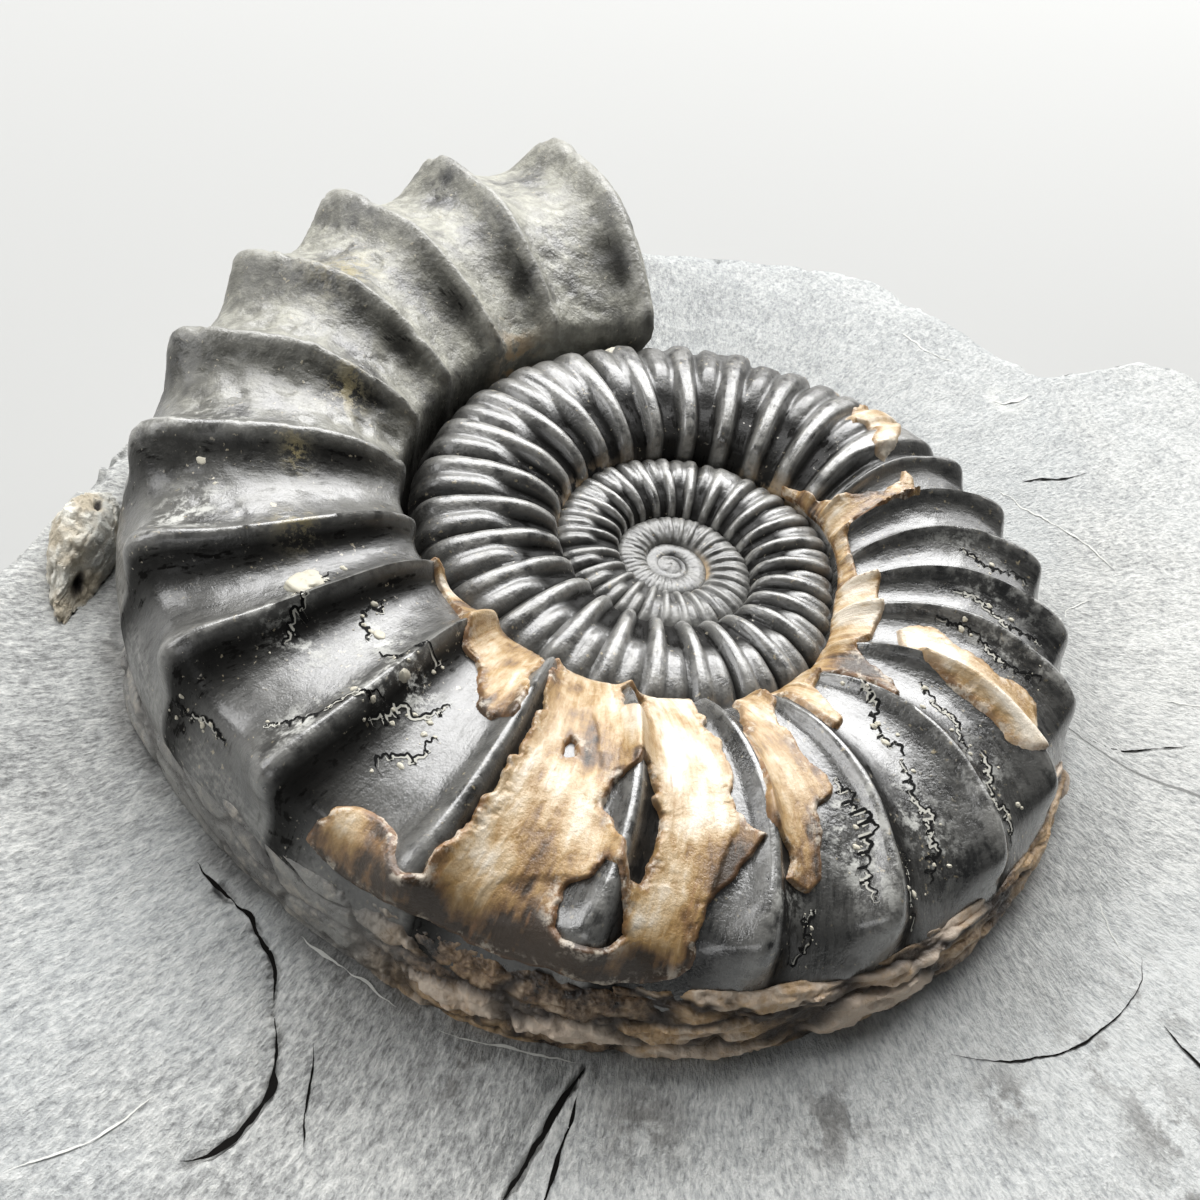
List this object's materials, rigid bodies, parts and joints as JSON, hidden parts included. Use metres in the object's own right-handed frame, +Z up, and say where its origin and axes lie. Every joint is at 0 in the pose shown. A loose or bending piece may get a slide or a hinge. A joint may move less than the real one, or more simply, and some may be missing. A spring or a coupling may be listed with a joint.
{
  "type": "ammonite fossil on a stone slab",
  "caption": "Flat-coiled ribbed ammonite mould with spined outer whorl and shell remnants, half buried in a loose flat-based slab of grey stone.",
  "frame": {"origin": "centre of the bounding box in plan, on the slab's flat base", "axes": "+Z up from the base, square to the plane of coiling; +Y towards the broken end of the body chamber; +X to the right as seen from the front"},
  "size_m": [0.1074, 0.1198, 0.0357],
  "materials": {
    "slate_grey_stone": "matt, fine-grained, scored by cleaning tools",
    "mould_stone": "satin black, dusty grey on the body chamber",
    "brown_shell": "semi-gloss golden brown calcite",
    "brown_crust": "rough",
    "pale_shell": "rough, pale grey brown"
  },
  "bodies": {
    "root": {"matrix": "slate_grey_stone", "ammonite": "mould_stone", "shell_sheet": "brown_shell", "shell_flake_inner": "brown_shell", "shell_flake_lower": "brown_shell", "shell_flake_right": "brown_shell", "shell_seam_right": "brown_shell", "shell_flake_upper": "brown_shell", "rim_crust": "brown_crust", "shell_fragment": "pale_shell"}
  },
  "joints": []
}
